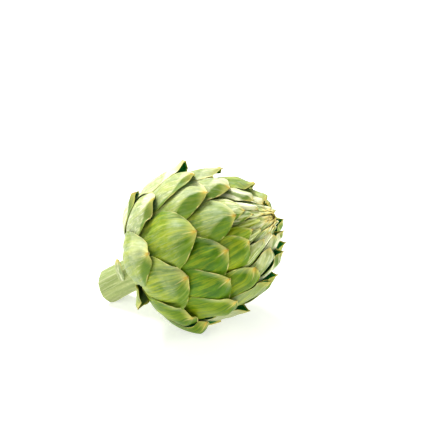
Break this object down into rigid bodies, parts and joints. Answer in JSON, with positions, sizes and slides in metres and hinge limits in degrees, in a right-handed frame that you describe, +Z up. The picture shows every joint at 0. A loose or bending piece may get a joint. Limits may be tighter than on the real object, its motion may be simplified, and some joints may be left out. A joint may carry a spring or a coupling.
{
  "type": "artichoke",
  "caption": "Fresh globe artichoke lying on its side: a round head of overlapping pointed green bracts on a short cut stem.",
  "frame": {"origin": "middle of the footprint of the bounding box, on the surface the artichoke lies on", "axes": "+Z up; +X from the cut end of the stem toward the crown of the head, whose axis rises 32 degrees from it; +Y to the artichoke's left"},
  "size_m": [0.119, 0.0948, 0.0982],
  "materials": {
    "stem": "matt pale olive skin with fine lengthwise ribs",
    "basal_bract": "matt, waxy pale green",
    "bract": "satin, waxy green with paler edges and lengthwise veins",
    "crown_bract": "satin yellow green with tan tips"
  },
  "bodies": {
    "root": {"stem_and_bud": "stem", "basal_bract_01": "basal_bract", "basal_bract_02": "basal_bract", "basal_bract_03": "basal_bract", "basal_bract_04": "basal_bract", "basal_bract_05": "basal_bract", "basal_bract_06": "basal_bract", "bract_07": "bract", "bract_08": "bract", "bract_09": "bract", "bract_10": "bract", "bract_11": "bract", "bract_12": "bract", "bract_13": "bract", "bract_14": "bract", "bract_15": "bract", "bract_16": "bract", "bract_17": "bract", "bract_18": "bract", "bract_19": "bract", "bract_20": "bract", "bract_21": "bract", "bract_22": "bract", "bract_23": "bract", "bract_24": "bract", "bract_25": "bract", "bract_26": "bract", "bract_27": "bract", "bract_28": "bract", "bract_29": "bract", "bract_30": "bract", "bract_31": "bract", "bract_32": "bract", "bract_33": "bract", "bract_34": "bract", "bract_35": "bract", "bract_36": "bract", "bract_37": "bract", "bract_38": "bract", "bract_39": "bract", "bract_40": "bract", "bract_41": "bract", "bract_42": "bract", "bract_43": "bract", "bract_44": "bract", "bract_45": "bract", "bract_46": "crown_bract", "bract_47": "crown_bract", "bract_48": "crown_bract", "bract_49": "crown_bract", "bract_50": "crown_bract", "bract_51": "crown_bract", "bract_52": "crown_bract", "bract_53": "crown_bract", "bract_54": "crown_bract", "bract_55": "crown_bract", "bract_56": "crown_bract", "bract_57": "crown_bract", "bract_58": "crown_bract", "bract_59": "crown_bract"}
  },
  "joints": []
}
